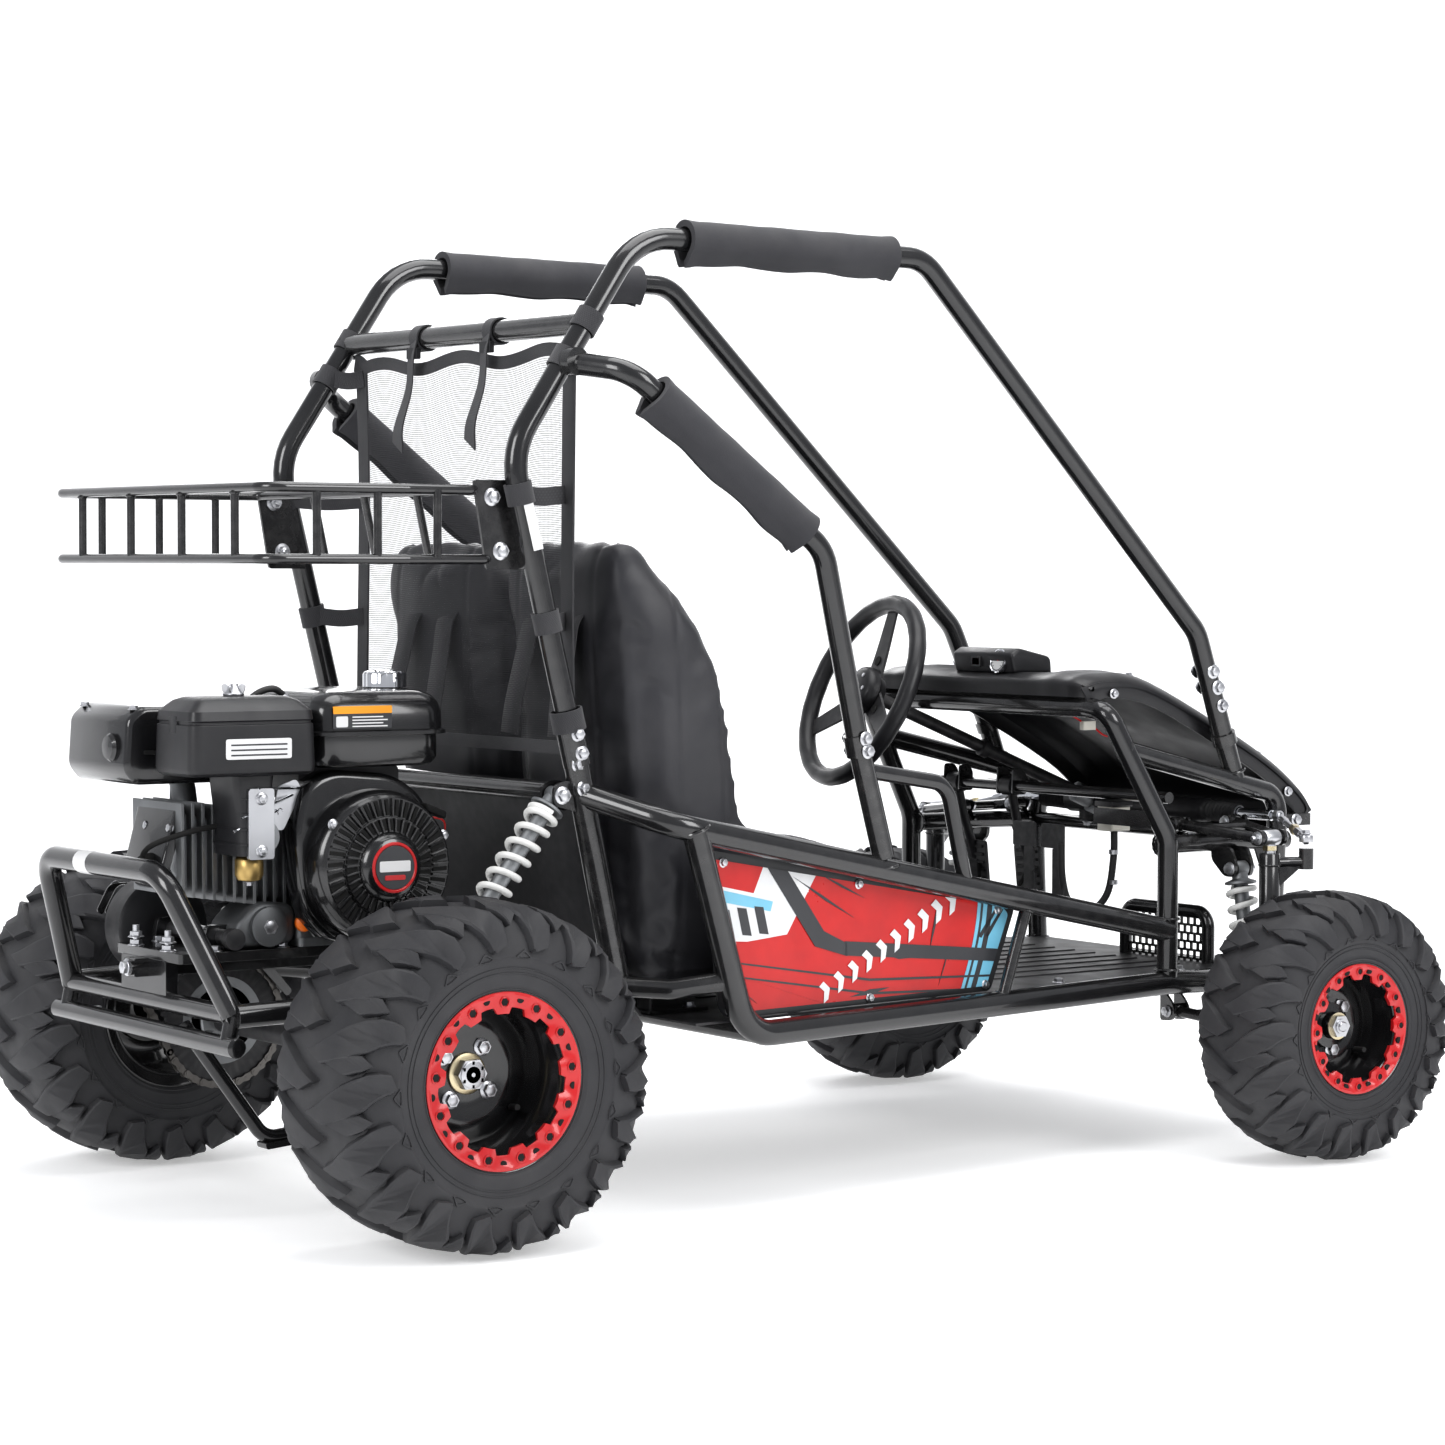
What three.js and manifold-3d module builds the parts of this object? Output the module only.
// Two-seat off-road kart: a welded tube chassis with a roll cage, swing-arm rear end with engine,
// double-wishbone front end, rack steering, seats, pedals and wheels.
// Millimetres, +X forward, +Y to the driver's left, +Z up, ground at Z = 0.
// Stations along X are measured from the rear axle; the exported group then shifts them so that
// its origin lies under the middle of the overall length.
import * as THREE from "three";
import { mergeVertices } from "three/addons/utils/BufferGeometryUtils.js";
import Module from "manifold-3d";

const wasm = await Module();
wasm.setup();

// ---- driving dimensions -------------------------------------------------------------------
const gap = 0.4; // clearance left between touching pieces
const sides = [["right", -1], ["left", 1]];

const wheelbase = 1287;
const rearTyre = { radius: 203, width: 203, track: 818, bead: 91, side: 14, lip: 104, rimHalf: 91 };
const frontTyre = { radius: 178, width: 145, track: 946, bead: 78, side: 12, lip: 88, rimHalf: 66 };
const rearOverhang = 270; // rear axle to the back of the bumper hoop
const noseReach = 1500; // rear axle to the front of the nose cowl

const cageTube = 14; // tube radii
const railTube = 16;
const hoopTube = 14;
const armTube = 12.5;
const rackTube = 6;

const cageHalf = 290; // half width between the cage rails' centre lines
const postFoot = { x: 290, z: 275 };
const postTop = { x: 223, z: 570 };
const cage = {
  lowBend: [136, 917],
  topRear: [313, 1180],
  topFront: [750, 1174],
  pillarBend: [1240, 694],
  pillarFoot: [1300, 548],
};
const sideHalf = 400; // half width of the side frames at their rear corners
const noseHalf = 283; // half width of the side frames at the front hoop
const hoopX = 1178;
const railTopZ = { rear: 474, front: 293 };
const railLowZ = 214;

const pivot = { x: 290, z: 238, half: 236 }; // swing arm hinge, across the kart
const engineX = 35;
const crankZ = 422;
const seatHalf = 150; // seat centre lines either side of the middle
const seatWidth = 290;

const eyeHalf = 10; // half the width of a shock absorber's eye
const pinGap = 2; // between a lower shock eye and the stub of its bolt
const kingpin = { x: wheelbase, y: 365, lowZ: 163, topZ: 419 };
const armSpan = 130; // wishbone length from its pivot to the kingpin
const armDrop = 13;
const wheelHub = { x: 986, y: 150, z: 608 };
const rack = { x: 1372, z: 441, reach: 283, pinionY: 92 };
const steeringWheelRadius = 132;
const pedalPivot = { x: 1200, z: 470 };

// ---- materials ----------------------------------------------------------------------------
const finish = (color, roughness, metalness = 0) =>
  new THREE.MeshStandardMaterial({ color, roughness, metalness });
const glossBlack = finish(0x0b0b0d, 0.18, 0.1);
const satinBlack = finish(0x17171a, 0.45);
const darkPlastic = finish(0x1c1c1f, 0.5);
const rubber = finish(0x1b1b1c, 0.8);
const foam = finish(0x2b2b2f, 0.9);
const vinyl = finish(0x1a1b1d, 0.5);
const webbing = finish(0x161617, 0.9);
const red = finish(0xd40d14, 0.35);
const white = finish(0xe8ebe6, 0.35);
const zinc = finish(0xb9bdc0, 0.3, 0.9);
const graphics = finish(0xe2331f, 0.3);

// ---- shape helpers ------------------------------------------------------------------------
const at = (x, y, z) => new THREE.Vector3(x, y, z);

// A path that is sampled exactly at its own stations, with the mitre direction at each.
class StationPath extends THREE.Curve {
  constructor(stations) {
    super();
    this.stations = stations;
  }
  getPoint(t) {
    return this.stations[Math.round(t * (this.stations.length - 1))].clone();
  }
  getPointAt(u) {
    return this.getPoint(u);
  }
  getTangentAt(u) {
    const i = Math.round(u * (this.stations.length - 1));
    const here = this.stations[i];
    const before = this.stations[Math.max(0, i - 1)];
    const after = this.stations[Math.min(this.stations.length - 1, i + 1)];
    const into = here.clone().sub(before).normalize();
    return into.add(after.clone().sub(here).normalize()).normalize();
  }
}

// Corner points with a bend radius each; every bend becomes a curve of a few stations.
function bentStations(corners, radii, steps) {
  const stations = [corners[0]];
  for (let i = 1; i < corners.length - 1; i++) {
    const here = corners[i];
    const back = corners[i - 1].clone().sub(here).normalize();
    const ahead = corners[i + 1].clone().sub(here).normalize();
    const radius = Array.isArray(radii) ? radii[i - 1] : radii;
    const turn = Math.PI - back.angleTo(ahead);
    const reach = radius * Math.tan(turn / 2);
    const curve = new THREE.QuadraticBezierCurve3(
      here.clone().addScaledVector(back, reach),
      here,
      here.clone().addScaledVector(ahead, reach),
    );
    stations.push(...curve.getPoints(steps));
  }
  stations.push(corners[corners.length - 1]);
  return stations;
}

function ring(radius, count) {
  const points = [];
  for (let i = 0; i < count; i++) {
    const a = ((i + 0.5) / count) * 2 * Math.PI;
    points.push(new THREE.Vector2(radius * Math.cos(a), radius * Math.sin(a)));
  }
  return points;
}

// A three.js geometry as a closed manifold solid.
function solid(geometry) {
  geometry.deleteAttribute("normal");
  geometry.deleteAttribute("uv");
  const merged = mergeVertices(geometry, 1e-3);
  return new wasm.Manifold(
    new wasm.Mesh({
      numProp: 3,
      vertProperties: merged.attributes.position.array,
      triVerts: new Uint32Array(merged.index.array),
    }),
  );
}

function tube(corners, radius, options = {}) {
  const { bendRadius = 40, count = 8, steps = 2 } = options;
  const stations = bentStations(corners, bendRadius, steps);
  const shape = new THREE.Shape(ring(radius, count));
  if (options.bore) shape.holes.push(new THREE.Path(ring(options.bore, count)));
  const made = solid(
    new THREE.ExtrudeGeometry(shape, {
      steps: stations.length - 1,
      bevelEnabled: false,
      extrudePath: new StationPath(stations),
    }),
  );
  return made.volume() < 0 ? solidReversed(shape, stations) : made;
}

// The same sweep run from its other end, for the paths whose faces would point inwards.
function solidReversed(shape, stations) {
  return solid(
    new THREE.ExtrudeGeometry(shape, {
      steps: stations.length - 1,
      bevelEnabled: false,
      extrudePath: new StationPath([...stations].reverse()),
    }),
  );
}

function box(x0, x1, y0, y1, z0, z1) {
  const made = new THREE.BoxGeometry(x1 - x0, y1 - y0, z1 - z0);
  return solid(made.translate((x0 + x1) / 2, (y0 + y1) / 2, (z0 + z1) / 2));
}

// A rod along Y, the direction that cylinders and turned shapes have by themselves.
function rod(x, z, radius, y0, y1, count = 16) {
  const made = new THREE.CylinderGeometry(radius, radius, y1 - y0, count);
  return solid(made.translate(x, (y0 + y1) / 2, z));
}

// A straight rod between any two points.
function bar(from, to, radius, count = 8) {
  const along = to.clone().sub(from);
  const made = new THREE.CylinderGeometry(radius, radius, along.length(), count);
  const turn = new THREE.Quaternion().setFromUnitVectors(at(0, 1, 0), along.normalize());
  made.applyQuaternion(turn);
  const middle = from.clone().add(to).multiplyScalar(0.5);
  return solid(made.translate(middle.x, middle.y, middle.z));
}

// A shape turned about Y: profile points are [radius, offset along Y].
function turned(profile, x, y, z, count = 24) {
  const points = profile.map(([radius, offset]) => new THREE.Vector2(radius, offset));
  const made = solid(new THREE.LatheGeometry(points, count).translate(x, y, z));
  if (made.volume() > 0) return made;
  return solid(new THREE.LatheGeometry(points.reverse(), count).translate(x, y, z));
}

// A side-view outline ([x, z] points) given width across the kart from y0 to y1.
function slab(outline, y0, y1) {
  const shape = new THREE.Shape(outline.map(([x, z]) => new THREE.Vector2(x, z)));
  const made = new THREE.ExtrudeGeometry(shape, { depth: y1 - y0, bevelEnabled: false });
  return solid(made.rotateX(Math.PI / 2).translate(0, y1, 0));
}

const join = (...solids) => wasm.Manifold.union(solids);
const kart = new THREE.Group();

function add(name, made, material) {
  const mesh = made.simplify(0.02).getMesh();
  const geometry = new THREE.BufferGeometry();
  geometry.setAttribute("position", new THREE.BufferAttribute(mesh.vertProperties, 3));
  geometry.setIndex(new THREE.BufferAttribute(mesh.triVerts, 1));
  const piece = new THREE.Mesh(geometry, material);
  piece.name = name;
  kart.add(piece);
  return made;
}

// Points that several pieces share.
const blend = (a, b, share) => a + (b - a) * share;
const railShare = (x) => (x - 300) / (hoopX - 300);
const railY = (x) => blend(sideHalf, noseHalf, railShare(x));
const railTopAt = (x) => blend(railTopZ.rear, railTopZ.front, railShare(x));
const postX = (z) => blend(postFoot.x, postTop.x, (z - postFoot.z) / (postTop.z - postFoot.z));
const upperZ = (x) => blend(536, 484, (x - 1118) / (1335 - 1118));

// ---- chassis frame ------------------------------------------------------------------------
const lowCorner = { x: 412, z: railLowZ };
const stub = { footX: 640, topX: 594, topY: 366, topZ: 562 };
const crossTubes = [430, 800];

function frameSide(side) {
  const y = (value) => side * value;
  const lowY = (x) => y(railY(x) - 2);
  const post = tube([at(postFoot.x, y(cageHalf), postFoot.z - 12), at(postTop.x, y(cageHalf), postTop.z)], railTube);
  const topRail = tube(
    [at(postX(508), y(cageHalf), 508), at(300, y(sideHalf), railTopZ.rear), at(hoopX, y(noseHalf), railTopZ.front)],
    railTube, { bendRadius: 60 },
  );
  const lowRail = tube(
    [at(328, y(railY(328)), railTopAt(328)), at(lowCorner.x, lowY(lowCorner.x), lowCorner.z),
      at(hoopX, y(noseHalf), 222), at(1410, y(250), 212)],
    railTube, { bendRadius: [60, 200] },
  );
  const lowLink = tube(
    [at(postFoot.x, y(cageHalf), postFoot.z), at(330, y(345), 272), at(388, lowY(388), 283)],
    armTube, { bendRadius: 30, count: 6 },
  );
  const hoopLeg = tube(
    [at(1085, y(225), 594), at(1085, y(266), 588), at(hoopX, y(noseHalf), 418), at(hoopX, y(noseHalf), 222)],
    hoopTube, { bendRadius: [30, 50], count: 6 },
  );
  const noseTube = tube(
    [at(1112, y(270), upperZ(1112)), at(1402, y(255), upperZ(1402)), at(1397, y(261), 406)],
    hoopTube, { bendRadius: 30, count: 6 },
  );
  const beam = tube([at(hoopX, y(268), 408), at(1412, y(262), 406)], armTube, { count: 6 });
  const frontPost = tube([at(1395, y(252), 214), at(1395, y(262), 406)], hoopTube, { count: 6 });
  const strut = tube([at(905, y(railY(905)), railTopAt(905)), at(858, lowY(858), 218)], 8, { count: 6 });
  const barStub = tube([at(stub.footX, y(358), 420), at(stub.topX, y(stub.topY), stub.topZ)], cageTube, { count: 6 });
  const stubBrace = tube(
    [at(604, y(364), 530), at(745, y(352), 508), at(790, y(railY(790)), railTopAt(790))],
    10, { bendRadius: 40, count: 6 },
  );
  const pillarStub = tube([at(1321, y(258), 492), at(cage.pillarFoot[0], y(258), cage.pillarFoot[1])], cageTube, { count: 6 });
  return [
    post, topRail, lowRail, lowLink, hoopLeg, noseTube, beam, frontPost, strut, barStub, stubBrace, pillarStub,
  ];
}

const crossBars = [
  tube([at(postX(508), -cageHalf, 508), at(postX(508), cageHalf, 508)], armTube),
  tube([at(postFoot.x, -cageHalf, postFoot.z), at(postFoot.x, cageHalf, postFoot.z)], railTube),
  tube([at(1085, -230, 594), at(1085, 230, 594)], hoopTube, { count: 6 }),
  tube([at(1410, -250, 212), at(1410, 250, 212)], railTube),
  tube([at(1395, -262, 406), at(1395, 262, 406)], 10, { count: 6 }),
  tube([at(pedalPivot.x, -260, pedalPivot.z), at(pedalPivot.x, 260, pedalPivot.z)], 8, { count: 8 }),
  ...crossTubes.map((x) => tube([at(x, -railY(x), railLowZ + 2), at(x, railY(x), railLowZ + 2)], armTube, { count: 6 })),
];

const guard = { x: 1334, y0: -192, y1: -18, z1: 302 };
const footGuard = [
  tube([at(guard.x, -262, 214), at(guard.x, 262, 214)], 11, { count: 6 }),
  tube(
    [at(guard.x, guard.y0, 214), at(guard.x, guard.y0, guard.z1), at(guard.x, guard.y1, guard.z1),
      at(guard.x, guard.y1, 214)],
    9, { bendRadius: 22, count: 6 },
  ),
  box(guard.x - 3, guard.x, guard.y0 + 4, guard.y1 - 4, 234, guard.z1 - 4),
];

// Ears and pins that carry the hinges on the frame.
const wishbone = {
  pivotY: kingpin.y - armSpan,
  lowZ: kingpin.lowZ + armDrop,
  topZ: kingpin.topZ + armDrop,
  x0: kingpin.x - 51,
  x1: kingpin.x + 53,
  tip: 20,
};
const rearShock = { y: 278, top: [206, 508], foot: [17, 262] };
const frontShock = { x: 1292, top: [300, 373], foot: [330, 170] };

// A box given by its distances from the middle plane, on one side of the kart.
function sideBox(side, x0, x1, inner, outer, z0, z1) {
  return side < 0 ? box(x0, x1, -outer, -inner, z0, z1) : box(x0, x1, inner, outer, z0, z1);
}
function sideRod(side, x, z, radius, inner, outer, count = 8) {
  return side < 0 ? rod(x, z, radius, -outer, -inner, count) : rod(x, z, radius, inner, outer, count);
}

function frameEars(side) {
  const ears = [];
  const near = wishbone.pivotY - 10;
  for (const x of [wishbone.x0 - 16, wishbone.x0 + 10, wishbone.x1 - 16, wishbone.x1 + 10]) {
    ears.push(sideBox(side, x, x + 6, near, near + 16, 404, wishbone.topZ + 10));
    ears.push(sideBox(side, x, x + 6, near, 258, 402, 414));
    ears.push(sideBox(side, x, x + 6, near, near + 16, wishbone.lowZ - 10, 214));
    ears.push(sideBox(side, x, x + 6, near, 262, 202, 216));
  }
  for (const x of [wishbone.x0, wishbone.x1]) {
    for (const z of [wishbone.topZ, wishbone.lowZ]) {
      ears.push(bar(at(x - 13, side * wishbone.pivotY, z), at(x + 13, side * wishbone.pivotY, z), 4.5, 6));
    }
  }
  const [topX, topZ] = rearShock.top;
  ears.push(sideBox(side, topX - 12, 232, rearShock.y - 16, rearShock.y - 12, topZ - 13, topZ + 13));
  ears.push(sideBox(side, topX - 12, 226, rearShock.y + 12, rearShock.y + 16, topZ - 13, topZ + 13));
  ears.push(sideRod(side, topX, topZ, 5, rearShock.y - 14, rearShock.y + 14, 6));
  const [shockY, shockZ] = frontShock.top;
  for (const x of [frontShock.x - 17, frontShock.x + 12]) {
    ears.push(sideBox(side, x, x + 5, 264, shockY + 11, shockZ - 11, 402));
  }
  const pinEnd = at(frontShock.x + 14, side * shockY, shockZ);
  ears.push(bar(at(frontShock.x - 14, side * shockY, shockZ), pinEnd, 5, 6));
  ears.push(sideBox(side, pivot.x - 15, pivot.x + 15, pivot.half + 3, pivot.half + 9, pivot.z - 15, 270));
  ears.push(sideRod(side, pivot.x, pivot.z, 7, pivot.half - 30, pivot.half + 5));
  ears.push(sideBox(side, pedalPivot.x - 10, pedalPivot.x + 10, 256, 264, pedalPivot.z - 10, 512));
  return ears;
}

const frame = join(
  ...sides.flatMap(([, side]) => [...frameSide(side), ...frameEars(side)]),
  ...crossBars,
  ...footGuard,
);
add("main_frame", frame, glossBlack);

// ---- roll cage ----------------------------------------------------------------------------
function cageRail(side) {
  const y = side * cageHalf;
  return tube(
    [at(postTop.x - 0.3, y, postTop.z + 1.2), at(cage.lowBend[0], y, cage.lowBend[1]),
      at(cage.topRear[0], y, cage.topRear[1]), at(cage.topFront[0], y, cage.topFront[1]),
      at(cage.pillarBend[0], side * 268, cage.pillarBend[1]),
      at(cage.pillarFoot[0] - 0.5, side * 258, cage.pillarFoot[1] + 1.2)],
    cageTube, { bendRadius: [90, 90, 60, 60] },
  );
}
const netBar = { x: 241, z: 1073 };
const cageFrame = join(
  ...sides.map(([, side]) => cageRail(side)),
  tube([at(netBar.x, -cageHalf, netBar.z), at(netBar.x, cageHalf, netBar.z)], cageTube),
);
add("roll_cage", cageFrame, glossBlack);

const sideBar = {
  start: [212, 1026],
  corner: [250, 375, 1013],
  shoulder: [529, 380, 803],
};
const barFoot = (side) => at(stub.topX - 0.4, side * stub.topY, stub.topZ + 1.4);
const fatCage = join(
  ...sides.map(([, side]) =>
    tube([at(136, side * cageHalf, 917), at(313, side * cageHalf, 1180)], cageTube + gap)),
);
for (const [name, side] of sides) {
  const [cx, cy, cz] = sideBar.corner;
  const [sx, sy, sz] = sideBar.shoulder;
  const made = tube(
    [at(sideBar.start[0], side * cageHalf, sideBar.start[1]), at(cx, side * cy, cz),
      at(sx, side * sy, sz), barFoot(side)],
    cageTube, { bendRadius: [45, 60] },
  );
  add("side_bar_" + name, made.subtract(fatCage), glossBlack);
}

// Foam sleeves on the cage.
const padRadius = 23;
const along = (from, to, share) => from.clone().lerp(to, share);
for (const [name, side] of sides) {
  const y = side * cageHalf;
  const a = at(cage.topRear[0], y, cage.topRear[1]);
  const b = at(cage.topFront[0], y, cage.topFront[1]);
  const options = { bore: cageTube * 1.08 + gap, count: 10 };
  add("top_pad_" + name, tube([along(a, b, 0.16), along(a, b, 0.88)], padRadius, options), foam);
  const [cx, cy, cz] = sideBar.corner;
  const [sx, sy, sz] = sideBar.shoulder;
  const c = at(cx, side * cy, cz);
  const d = at(sx, side * sy, sz);
  add("side_pad_" + name, tube([along(c, d, 0.12), along(c, d, 0.9)], padRadius, options), foam);
}

// ---- luggage rack -------------------------------------------------------------------------
const shelf = { rear: -184, half: 283, topZ: 872, lowZ: 790, topFront: 100, lowFront: 118 };
function shelfRing(z, front) {
  const half = [
    at(front, 1, z), at(front, -shelf.half + 9, z), at(shelf.rear, -shelf.half, z), at(shelf.rear, 1, z),
  ];
  const mirrored = half.map((p) => at(p.x, -p.y, p.z));
  const options = { bendRadius: [14, 26], count: 6 };
  return join(tube(half, rackTube, options), tube(mirrored, rackTube, options));
}
function shelfRungs() {
  const rungs = [];
  const rung = (x0, x1, y) => rungs.push(tube([at(x0, y, shelf.lowZ), at(x1, y, shelf.topZ)], 5, { count: 4 }));
  for (const share of [-0.72, -0.24, 0.24, 0.72]) rung(shelf.rear, shelf.rear, share * shelf.half);
  for (const y of [-130, 0, 130]) rung(shelf.lowFront, shelf.topFront, y);
  for (const [, side] of sides) rung(-40, -40, side * (shelf.half - 5));
  return rungs;
}
const shelfPlates = sides.map(([, side]) => {
  const [y0, y1] = side < 0 ? [-275, -271] : [271, 275];
  return slab([[94, 884], [140, 884], [158, 778], [112, 778]], y0, y1);
});
add(
  "luggage_rack",
  join(shelfRing(shelf.topZ, shelf.topFront), shelfRing(shelf.lowZ, shelf.lowFront), ...shelfRungs(), ...shelfPlates)
    .subtract(join(...sides.map(([, side]) =>
      tube([at(postTop.x, side * cageHalf, postTop.z), at(136, side * cageHalf, 917)], cageTube + gap)))),
  glossBlack,
);


// ---- side panels, floor, firewall -----------------------------------------------------------
const railSlope = (noseHalf - sideHalf) / (hoopX - 300);
// Moves a solid out to the slanting plane of the side frame, `inset` inside its centre line.
function onSideFrame(made, side, inset) {
  const offset = side * (sideHalf - railSlope * 300 - inset);
  return made.transform([1, side * railSlope, 0, 0, 0, 1, 0, 0, 0, 0, 1, 0, 0, offset, 0, 1]);
}
for (const [name, side] of sides) {
  const panel = slab([[388, 233], [360, 442], [410, 448], [888, 350], [902, 336], [858, 233]], -1.5, 1.5);
  add("side_panel_" + name, onSideFrame(panel, side, railTube + 9), graphics);
}

function floorPan() {
  const half = (x) => railY(x) - 22;
  const outline = [345, 640, 960, 1200].map((x) => [x, half(x)]);
  outline.push([1385, 228]);
  const shape = [...outline, ...outline.map(([x, y]) => [x, -y]).reverse()];
  const flat = new THREE.Shape(shape.map(([x, y]) => new THREE.Vector2(x, y)));
  const pan = new THREE.ExtrudeGeometry(flat, { depth: 3, bevelEnabled: false });
  return solid(pan.translate(0, 0, railLowZ + 2 + armTube + gap));
}
const firewall = slab([[345, 229.4], [345, 232], [316, 262], [259, 500], [255.5, 500], [312, 260]], -262, 262);
const tray = join(floorPan(), firewall, box(340, 350, -262, 262, 228.9, 231.9));
const guardRoom = [guard.y0, guard.y1].map((y) => box(guard.x - 11, guard.x + 11, y - 11, y + 11, 200, 240));
add("floor_and_firewall", tray.subtract(join(...guardRoom)), satinBlack);

// ---- dash and nose cowl -----------------------------------------------------------------------
// Gives a run of points a thickness on its right-hand side, as a closed outline.
function thickened(points, thickness) {
  const inner = points.map(([x, z], i) => {
    const [ax, az] = points[Math.max(0, i - 1)];
    const [bx, bz] = points[Math.min(points.length - 1, i + 1)];
    const length = Math.hypot(bx - ax, bz - az);
    return [x + (thickness * (bz - az)) / length, z - (thickness * (bx - ax)) / length];
  });
  return [...points, ...inner.reverse()];
}
const cowlLine = [
  [1064, 612], [1068, 632], [1112, 642], [1200, 630], [1383, 542], [1465, 488], [noseReach - 2, 452],
  [noseReach - 10, 424], [1456, 408],
];
const cheek = [
  [1108, 639], [1200, 627], [1383, 539], [1465, 484], [1490, 450], [1484, 428], [1440, 430], [1330, 520],
  [1140, 604],
];
const cowlShell = join(
  slab(thickened(cowlLine, 4), -238, 238),
  slab(cheek, -238, -234),
  slab(cheek, 234, 238),
  slab([[1084, 634], [1078, 662], [1092, 671], [1150, 658], [1150, 633]], -70, 62),
);
add("dash_cowl", cowlShell, satinBlack);

// ---- seats and net --------------------------------------------------------------------------
function bucketSeat(centre) {
  const half = seatWidth / 2;
  const outside = [
    [320, 290], [284, 800], [296, 836], [338, 838], [394, 770], [438, 689], [462, 560], [480, 470],
    [640, 428], [735, 378], [730, 318], [420, 264], [340, 268],
  ];
  const inside = [
    [386, 372], [352, 790], [362, 900], [620, 900], [820, 700], [820, 392], [700, 384], [462, 336],
  ];
  const wing = slab(outside, centre - half, centre + half);
  const hollow = slab(inside, centre - half + 42, centre + half - 42);
  const slots = [-48, 48].map((y) => box(270, 400, centre + y - 26, centre + y + 26, 700, 742));
  return wing.subtract(join(hollow, ...slots));
}
for (const [name, side] of sides) add("seat_" + name, bucketSeat(side * seatHalf), vinyl);

add("rear_net", box(netBar.x - 1.5, netBar.x + 1.5, -258, 258, 560, netBar.z - 14.4), webbing);

// ---- swing arm ------------------------------------------------------------------------------
const jackshaft = { x: -130, z: 337 };
const axleZ = rearTyre.radius;
function swingSide(side) {
  const y = (value) => side * value;
  const arm = tube(
    [at(pivot.x, y(212), pivot.z), at(200, y(232), 252), at(17, y(244), 270), at(-195, y(224), 262)],
    14, { bendRadius: 60 },
  );
  const carrier = sideBox(side, -38, 38, 239, 249, axleZ - 34, 262);
  const shockPin = sideRod(side, ...rearShock.foot, 6, 246, rearShock.y - eyeHalf - pinGap, 8); // stops short of the eye
  const foot = tube([at(-195, y(216), 262), at(-202, y(216), 227)], 10, { count: 6 });
  return [arm, carrier, shockPin, foot];
}
const bumperHoop = tube(
  [at(-195, -216, 262), at(14 - rearOverhang, -158, 426), at(14 - rearOverhang, 158, 426), at(-195, 216, 262)],
  14, { bendRadius: 45, count: 6 },
);
const bumperLow = tube([at(-202, -240, 227), at(-202, 240, 227)], 12, { count: 6 });
const bearing = (y) => slab([[-156, 322], [-150, 352], [-110, 352], [-104, 322]], y, y + 9);
const stand = tube(
  [at(-200, -100, 240), at(-93, -100, 96), at(96, -100, 112), at(105, -100, 296)],
  9, { bendRadius: 30, count: 6 },
);
const caliper = box(50, 104, -173, -133, 258, 306).subtract(box(0, 90, -158, -146, 200, 306));
const swingArm = join(
  ...sides.flatMap(([, side]) => swingSide(side)),
  tube([at(pivot.x, -226, pivot.z), at(pivot.x, 226, pivot.z)], 16),
  tube([at(200, -232, 252), at(200, 232, 252)], 12, { count: 6 }),
  tube([at(105, -239, 300), at(105, 239, 300)], 12, { count: 6 }),
  tube([at(105, -239, 300), at(105, -239, 264)], 10, { count: 6 }),
  tube([at(105, 239, 300), at(105, 239, 264)], 10, { count: 6 }),
  bumperHoop, bumperLow, stand, caliper,
  tube([at(-195, -224, 262), at(-195, 224, 262)], 12),
  box(-202, 130, -96, 78, 311, 323),
  box(-203, -187, -60, 60, 262, 312),
  box(-222, 40, -14, 14, 290, 312),
  bearing(-64), bearing(66),
).subtract(
  join(
    rod(0, axleZ, 15.6, -300, 300, 16),
    rod(jackshaft.x, jackshaft.z, 10.6, -300, 300, 12),
    rod(pivot.x, pivot.z, 7.6, -300, 300, 12),
  ),
);
add("swing_arm", swingArm, glossBlack);

// ---- engine group ---------------------------------------------------------------------------
const engineBlock = join(
  box(-45, 122, -96, 70, 323.4, 470),
  slab([[-40, 364], [-40, 468], [-186, 503], [-212, 420], [-192, 385]], -82, 52),
  turned([[0, -192], [52, -192], [58, -178], [92, -172], [96, -120], [92, -92], [0, -92]], engineX, 0, crankZ, 20),
  box(-46, 92, -100, 34, 462, 540.6),
  slab([[-150, 440], [-112, 440], [-104, 534.6], [-158, 534.6]], -152, -78),
  rod(engineX, crankZ, 10, 60, 152, 8),
  turned([[0, 92], [50, 92], [55, 100], [55, 132], [48, 140], [0, 140]], engineX, 0, crankZ, 16),
);
add("engine", engineBlock, satinBlack);

const tankOutline = [
  [-56, 558], [-56, 612], [-38, 633], [112, 633], [130, 614], [130, 558], [114, 541], [-42, 541],
];
add("fuel_tank", slab(tankOutline, -168, 42), glossBlack);
add("fuel_cap", bar(at(84, -80, 633.4), at(84, -80, 656), 27, 14), zinc);

const cleanerOutline = [[-226, 540], [-224, 600], [-196, 624], [-96, 628], [-66, 604], [-60, 535], [-218, 535]];
const cleanerShell = join(
  slab(cleanerOutline, -176, -72),
  bar(at(-144, -122, 620), at(-144, -122, 644), 13, 10),
);
add("air_cleaner", cleanerShell, darkPlastic);

const mufflerOutline = [
  [-250, 540], [-246, 600], [-228, 615], [-112, 615], [-96, 600], [-96, 540], [-112, 522], [-236, 522],
];
const mufflerShell = join(
  slab(mufflerOutline, -50, 112),
  bar(at(-150, 8, 496), at(-150, 8, 530), 15, 8),
  bar(at(-200, 112, 560), at(-200, 132, 560), 12, 8),
).subtract(engineBlock.translate(0, 0, gap));
add("muffler", mufflerShell, satinBlack);

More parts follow.
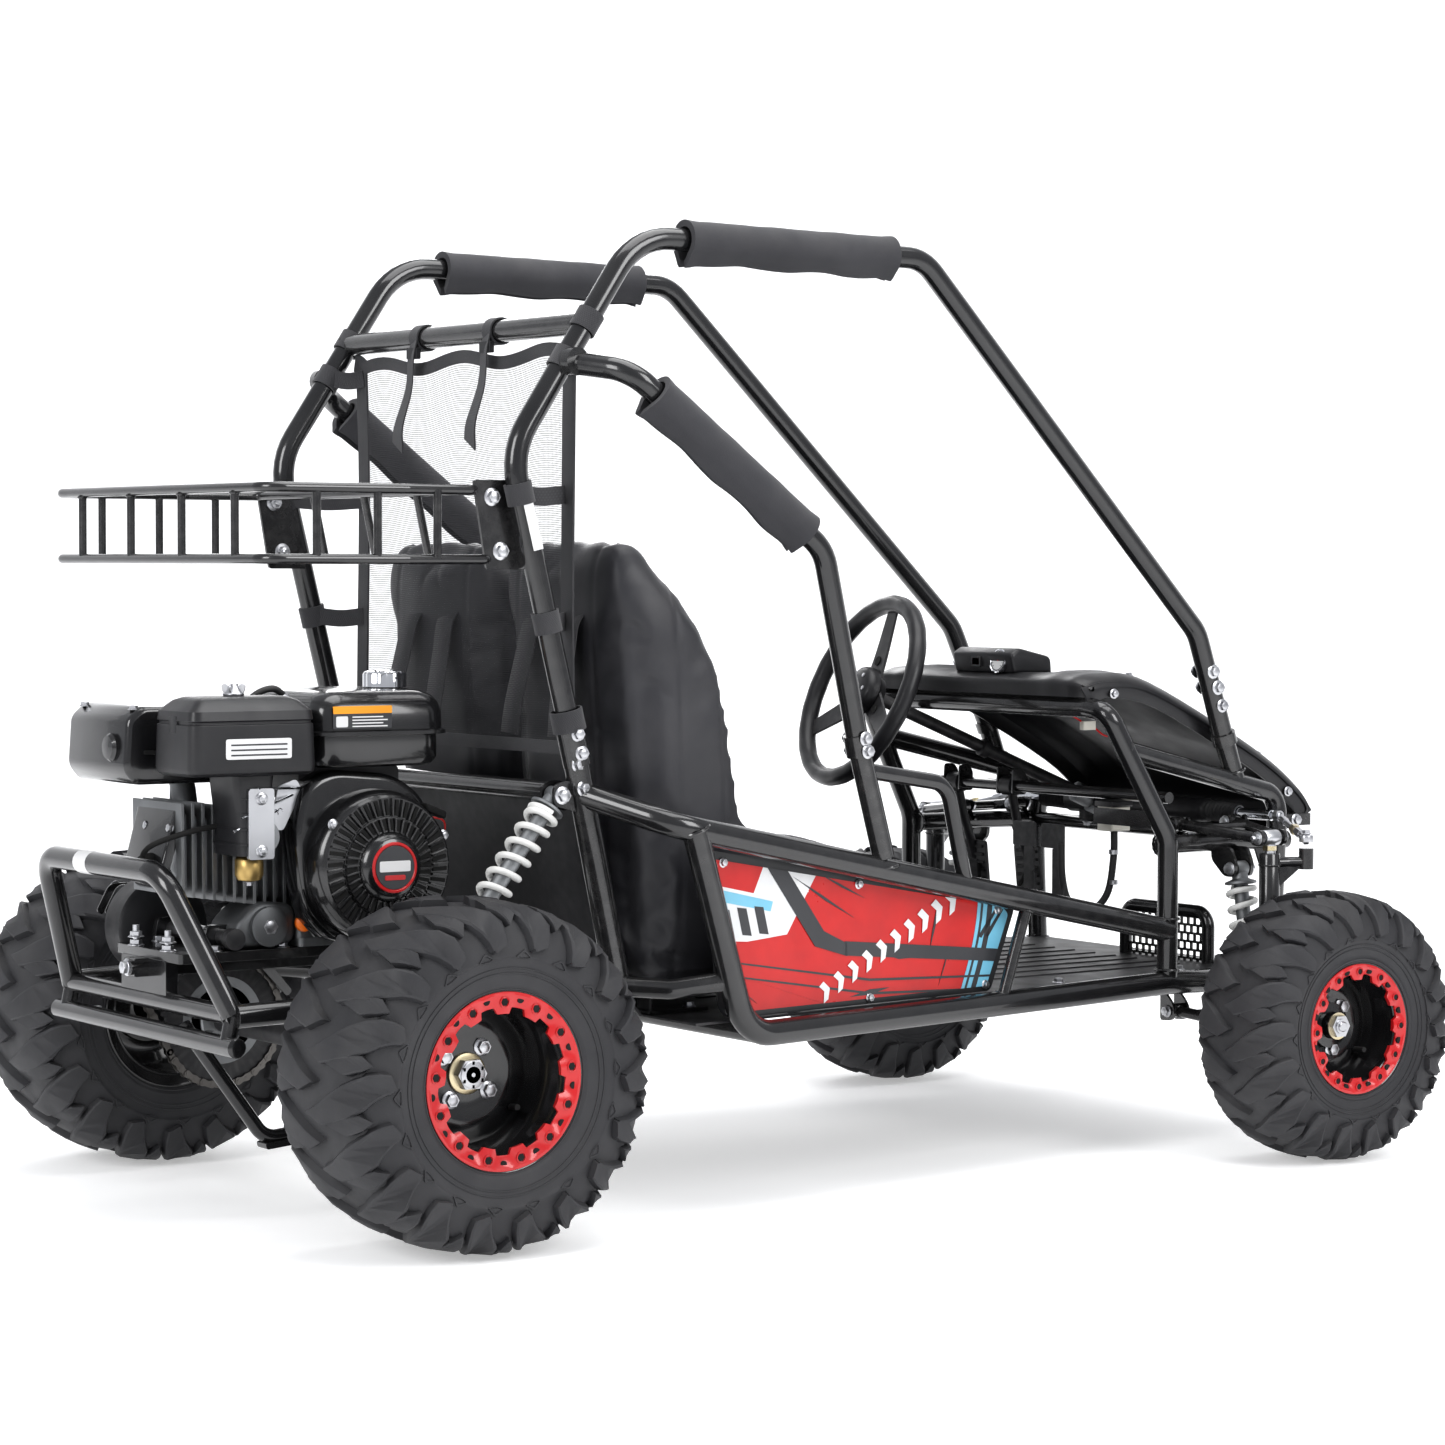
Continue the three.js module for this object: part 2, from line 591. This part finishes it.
const drum = { y0: 92, y1: 138, radius: 60 };
const shaftAndDrum = join(
  rod(jackshaft.x, jackshaft.z, 10, -86, 200, 12),
  rod(jackshaft.x, jackshaft.z, drum.radius, drum.y0, drum.y1, 20),
  rod(jackshaft.x, jackshaft.z, 26, 189, 197, 14),
  rod(jackshaft.x, jackshaft.z, 13, -100, -84, 8),
);
add("jackshaft", shaftAndDrum, zinc);

// ---- rear axle and wheels -------------------------------------------------------------------
const rearY = rearTyre.track / 2;
const rearDisc = rearY + 2;
function axleHub(side) {
  return join(
    sideRod(side, 0, axleZ, 24, 264, rearDisc - gap, 12),
    sideRod(side, 0, axleZ, 50, rearDisc - 9, rearDisc - gap, 16),
    sideRod(side, 0, axleZ, 19, rearDisc + 7 + gap, rearDisc + 20, 6),
  );
}
const brakeDisc = rod(0, axleZ, 80, -155, -149, 16);
const axleShaft = rod(0, axleZ, 15, -rearDisc - 14, rearDisc + 14, 16);
const axle = join(axleShaft, brakeDisc, ...sides.map(([, side]) => axleHub(side)));
add("rear_axle", axle, zinc);

const sprocketProfile = [[15.5, 185], [32, 185], [32, 190], [86, 190], [86, 196], [32, 196], [32, 201], [15.5, 201]];
const rearSprocket = turned([...sprocketProfile, sprocketProfile[0]], 0, 0, axleZ, 16);
add("rear_sprocket", rearSprocket, zinc);

// Outline of a rim: ring lip, barrel, inner lip, then the dished disc and its bore.
function rimProfile(lip, seat, half, bore, hub) {
  const well = seat - 6;
  return [
    [lip, half], [lip, half - 7], [seat, half - 11], [seat, 11 - half], [lip - 3, 7 - half], [lip - 3, 1 - half],
    [well, 6 - half], [well, 2], ...hub.slice(0, -1).map(([radius, offset]) => [radius, offset]),
    [bore, hub[hub.length - 1][1]], [hub[0][0], hub[hub.length - 1][1]], [hub[0][0], 9], [well, 9],
    [seat - 2, half - 4],
  ];
}
// Outline of a tyre carcass, open towards the rim.
function tyreProfile({ radius, width, bead, side, lip, rimHalf }) {
  const half = width / 2;
  const outer = [
    [bead, rimHalf - 12], [lip + 1.2, rimHalf - 8], [lip + 3, half - 6], [radius - 62, half],
    [radius - 20, half - side], [radius, half - 46],
  ];
  const inner = [[radius - 16, half - 50], [radius - 60, half - 14], [bead, rimHalf - 26]];
  const mirrored = (points) => points.map(([r, offset]) => [r, -offset]).reverse();
  return [...outer, ...mirrored(outer), ...mirrored(inner), ...inner];
}
function spun(profile, side, y, z, x, count) {
  const sided = profile.map(([radius, offset]) => [radius, side * offset]);
  return turned([...sided, sided[0]], x, side * y, z, count);
}
const rearRimShape = rimProfile(rearTyre.lip, 90, rearTyre.rimHalf, 15.6, [[15.6, 2], [15.6, 9]]);
const plainDisc = rearRimShape.filter(([radius, offset], i, all) => i === 0 || radius !== all[i - 1][0] || offset !== all[i - 1][1]);
for (const [name, side] of sides) {
  add("rear_rim_" + name, spun(plainDisc, side, rearY, axleZ, 0, 16), red);
  add("rear_tyre_" + name, spun(tyreProfile(rearTyre), side, rearY, axleZ, 0, 16), rubber);
}
const frontHub = [[27, 2], [27, -25], [10.8, -25], [10.8, 26]];
const frontY = frontTyre.track / 2;
const frontZ = frontTyre.radius;
for (const [name, side] of sides) {
  const profile = rimProfile(frontTyre.lip, 77, frontTyre.rimHalf, 10.8, frontHub);
  add("front_rim_" + name, spun(profile, side, frontY, frontZ, wheelbase, 16), red);
  add("front_tyre_" + name, spun(tyreProfile(frontTyre), side, frontY, frontZ, wheelbase, 16), rubber);
}

// ---- front suspension -----------------------------------------------------------------------
function wishboneArm(side, outerZ, innerZ, withShockPin) {
  const y = (value) => side * value;
  const parts = [];
  for (const [x, tip] of [[wishbone.x0, -wishbone.tip], [wishbone.x1, wishbone.tip]]) {
    const inner = at(x, y(wishbone.pivotY), innerZ);
    const outer = at(kingpin.x + tip, y(kingpin.y - 4), outerZ);
    parts.push(bar(inner, outer, 7.5, 6));
    parts.push(bar(at(x - 9, y(wishbone.pivotY), innerZ), at(x + 9, y(wishbone.pivotY), innerZ), 9.5, 8));
  }
  const pinFrom = at(kingpin.x - wishbone.tip - 4, y(kingpin.y), outerZ);
  parts.push(bar(pinFrom, at(kingpin.x + wishbone.tip + 4, y(kingpin.y), outerZ), 5, 6));
  if (withShockPin) {
    const [footY, footZ] = frontShock.foot;
    for (const [from, to] of [[kingpin.x - 23, frontShock.x - eyeHalf - pinGap], [frontShock.x + eyeHalf + pinGap, kingpin.x + 24]]) {
      parts.push(bar(at(from, y(footY), footZ), at(to, y(footY), footZ), 5, 8)); // two stubs, clear of the eye between them
    }
  } else {
    parts.push(bar(at(1248, y(275), innerZ - 4), at(1328, y(275), innerZ - 4), 6, 6));
  }
  let made = join(...parts);
  for (const x of [wishbone.x0, wishbone.x1]) {
    const bore = bar(at(x - 20, y(wishbone.pivotY), innerZ), at(x + 20, y(wishbone.pivotY), innerZ), 5.6, 8);
    made = made.subtract(bore);
  }
  return made;
}

function kingpinPiece(side) {
  const { x, lowZ, topZ } = kingpin;
  const y = side * kingpin.y;
  const eye = (z) => bar(at(x - 10, y, z), at(x + 10, y, z), 10.5, 8);
  const bore = (z) => bar(at(x - 20, y, z), at(x + 20, y, z), 6, 8);
  return join(bar(at(x, y, lowZ), at(x, y, topZ), 8, 8), eye(lowZ), eye(topZ)).subtract(join(bore(lowZ), bore(topZ)));
}

const steerArm = { x: 1335, y: 385, z: 417 };
function knucklePiece(side) {
  const { x, lowZ, topZ } = kingpin;
  const y = (value) => side * value;
  const spindleEnd = frontY + 34;
  return join(
    bar(at(x, y(kingpin.y), lowZ + 27), at(x, y(kingpin.y), topZ - 21), 14, 10),
    sideBox(side, x - 9, x + 9, kingpin.y + 5, kingpin.y + 33, lowZ + 29, 240),
    sideBox(side, x - 9, x + 9, kingpin.y + 15, kingpin.y + 33, frontZ - 11, 240),
    sideRod(side, x, frontZ, 10, kingpin.y + 20, spindleEnd, 12),
    sideRod(side, x, frontZ, 14, kingpin.y + 20, frontY - 26, 12),
    sideRod(side, x, frontZ, 16, frontY + 26.5, spindleEnd - 2, 6),
    bar(at(x, y(kingpin.y), 385), at(steerArm.x, y(steerArm.y), 385), 7.5, 6),
    bar(at(steerArm.x, y(steerArm.y), 380), at(steerArm.x, y(steerArm.y), 404), 8, 8),
  ).subtract(bar(at(x, y(kingpin.y), lowZ), at(x, y(kingpin.y), topZ), 8.8, 8));
}

for (const [name, side] of sides) {
  add("lower_arm_" + name, wishboneArm(side, kingpin.lowZ, wishbone.lowZ, true), glossBlack);
  add("upper_arm_" + name, wishboneArm(side, kingpin.topZ, wishbone.topZ, false), glossBlack);
  add("kingpin_" + name, kingpinPiece(side), zinc);
  add("knuckle_" + name, knucklePiece(side), glossBlack);
}

// ---- shock absorbers ------------------------------------------------------------------------
// Everything is built pointing down from an eye at the origin, then turned into place.
function shockParts(length, axisAlongX) {
  const eyeAt = (z, radius) => (axisAlongX
    ? bar(at(-eyeHalf, 0, z), at(eyeHalf, 0, z), radius, 8)
    : bar(at(0, -eyeHalf, z), at(0, eyeHalf, z), radius, 8));
  const bodyEnd = -length * 0.6;
  const seat = -length + 22;
  const body = join(
    eyeAt(0, 10.5), bar(at(0, 0, 0), at(0, 0, bodyEnd), 10, 10), bar(at(0, 0, -18), at(0, 0, -22), 19, 10),
  ).subtract(join(eyeAt(0, 5.8).scale([1.2, 1.2, 1]), bar(at(0, 0, -26), at(0, 0, bodyEnd - 1), 6.2, 8)));
  const rodPart = join(
    eyeAt(-length, 11), bar(at(0, 0, 10 - length), at(0, 0, -length * 0.3), 5, 8),
    bar(at(0, 0, seat), at(0, 0, seat - 4), 19, 10),
  ).subtract(eyeAt(-length, 7.2).scale([1.2, 1.2, 1]));
  return { body, rodPart, spring: coil(-22.6, seat + 0.6) };
}

// A round-wire coil of square-ish section between two heights.
function coil(top, bottom) {
  const turns = 5;
  const stations = [];
  for (let i = 0; i <= turns * 6; i++) {
    const a = (i / 6) * 2 * Math.PI;
    const z = top - 4 + ((bottom + 4 - (top - 4)) * i) / (turns * 6);
    stations.push(at(15.5 * Math.cos(a), 15.5 * Math.sin(a), z));
  }
  const shape = new THREE.Shape(ring(3.2, 4));
  const options = { steps: stations.length - 1, bevelEnabled: false, extrudePath: new StationPath(stations) };
  const made = solid(new THREE.ExtrudeGeometry(shape, options));
  return made.volume() > 0 ? made : solidReversed(shape, stations);
}

// Turns a downward-pointing solid so that it runs from `top` to `foot`.
function hang(made, top, foot) {
  const turn = new THREE.Quaternion().setFromUnitVectors(at(0, 0, -1), foot.clone().sub(top).normalize());
  const place = new THREE.Matrix4().makeRotationFromQuaternion(turn).setPosition(top);
  return made.transform(place.elements);
}

for (const [name, side] of sides) {
  const rearTop = at(rearShock.top[0], side * rearShock.y, rearShock.top[1]);
  const rearFoot = at(rearShock.foot[0], side * rearShock.y, rearShock.foot[1]);
  const frontTop = at(frontShock.x, side * frontShock.top[0], frontShock.top[1]);
  const frontFoot = at(frontShock.x, side * frontShock.foot[0], frontShock.foot[1]);
  for (const [end, top, foot] of [["rear", rearTop, rearFoot], ["front", frontTop, frontFoot]]) {
    const parts = shockParts(top.distanceTo(foot), end === "front");
    add(`${end}_shock_body_${name}`, hang(parts.body, top, foot), zinc);
    add(`${end}_shock_rod_${name}`, hang(parts.rodPart, top, foot), zinc);
    add(`${end}_spring_${name}`, hang(parts.spring, top, foot), white);
  }
}

// ---- steering -------------------------------------------------------------------------------
const hubPoint = at(wheelHub.x, wheelHub.y, wheelHub.z);
const pinionPoint = at(rack.x, rack.pinionY, rack.z);
const columnWay = pinionPoint.clone().sub(hubPoint).normalize();
const onColumn = (distance) => hubPoint.clone().addScaledVector(columnWay, distance);

function steeringWheel() {
  const rim = [];
  for (let i = 0; i <= 6; i++) {
    const a = (i / 6) * 2 * Math.PI;
    rim.push([steeringWheelRadius + 13 * Math.cos(a), 12 * Math.sin(a)]);
  }
  rim[6] = rim[0];
  const spokes = [0, 1, 2].map((i) => {
    const a = (Math.PI / 2) + (i * 2 * Math.PI) / 3;
    return bar(at(0, 16, 0), at(-Math.sin(a) * 128, 0, Math.cos(a) * 128), 9, 6).scale([1, 0.6, 1]);
  });
  const made = join(
    turned(rim, 0, 0, 0, 18),
    turned([[0, -8], [34, -6], [36, 8], [26, 24], [0, 26]], 0, 0, 0, 14),
    ...spokes,
    rod(0, 0, 9, 20, columnLength, 10),
  );
  const turn = new THREE.Quaternion().setFromUnitVectors(at(0, 1, 0), columnWay);
  const place = new THREE.Matrix4().makeRotationFromQuaternion(turn).setPosition(hubPoint);
  return made.transform(place.elements);
}
const columnLength = hubPoint.distanceTo(pinionPoint) - 46;
add("steering_wheel", steeringWheel(), darkPlastic);

function rackHousing() {
  const tower = bar(onColumn(columnLength + 3), pinionPoint, 15, 10);
  const made = join(
    rod(rack.x, rack.z, 17, -150, 150, 12),
    ...sides.flatMap(([, side]) => [
      sideRod(side, rack.x, rack.z, 14, 145, 212, 10),
      sideBox(side, rack.x - 10, rack.x + 12.6, 108, 120, 412, 440),
    ]),
    tower,
  );
  return made.subtract(rod(rack.x, rack.z, 8.8, -300, 300, 12));
}
add("steering_rack", rackHousing(), darkPlastic);
add("rack_bar", rod(rack.x, rack.z, 7.5, 2 - rack.reach, rack.reach - 2, 10), zinc);
for (const [name, side] of sides) {
  const inner = at(rack.x, side * (rack.reach + 9), rack.z);
  const outer = at(steerArm.x, side * steerArm.y, steerArm.z);
  const made = join(
    bar(inner, outer, 5.5, 6),
    rod(rack.x, rack.z, 8, inner.y - 8.5, inner.y + 8.5, 8),
    bar(at(outer.x, outer.y, outer.z - 9), at(outer.x, outer.y, outer.z + 9), 10, 8),
  );
  add("tie_rod_" + name, made, zinc);
}

// ---- pedals ---------------------------------------------------------------------------------
for (const [name, y] of [["throttle_pedal", 80], ["brake_pedal", 202]]) {
  const { x, z } = pedalPivot;
  const made = join(
    rod(x, z, 14, y - 13, y + 13, 12),
    bar(at(x + 2, y, z - 8), at(x + 36, y, z - 112), 7, 6),
    slab([[x + 30, z - 84], [x + 38, z - 84], [x + 46, z - 150], [x + 38, z - 152]], y - 30, y + 30),
  );
  add(name, made.subtract(rod(x, z, 8.8, y - 40, y + 40, 12)), satinBlack);
}

const extent = new THREE.Box3().setFromObject(kart);
kart.position.x = -(extent.min.x + extent.max.x) / 2;
export default kart;
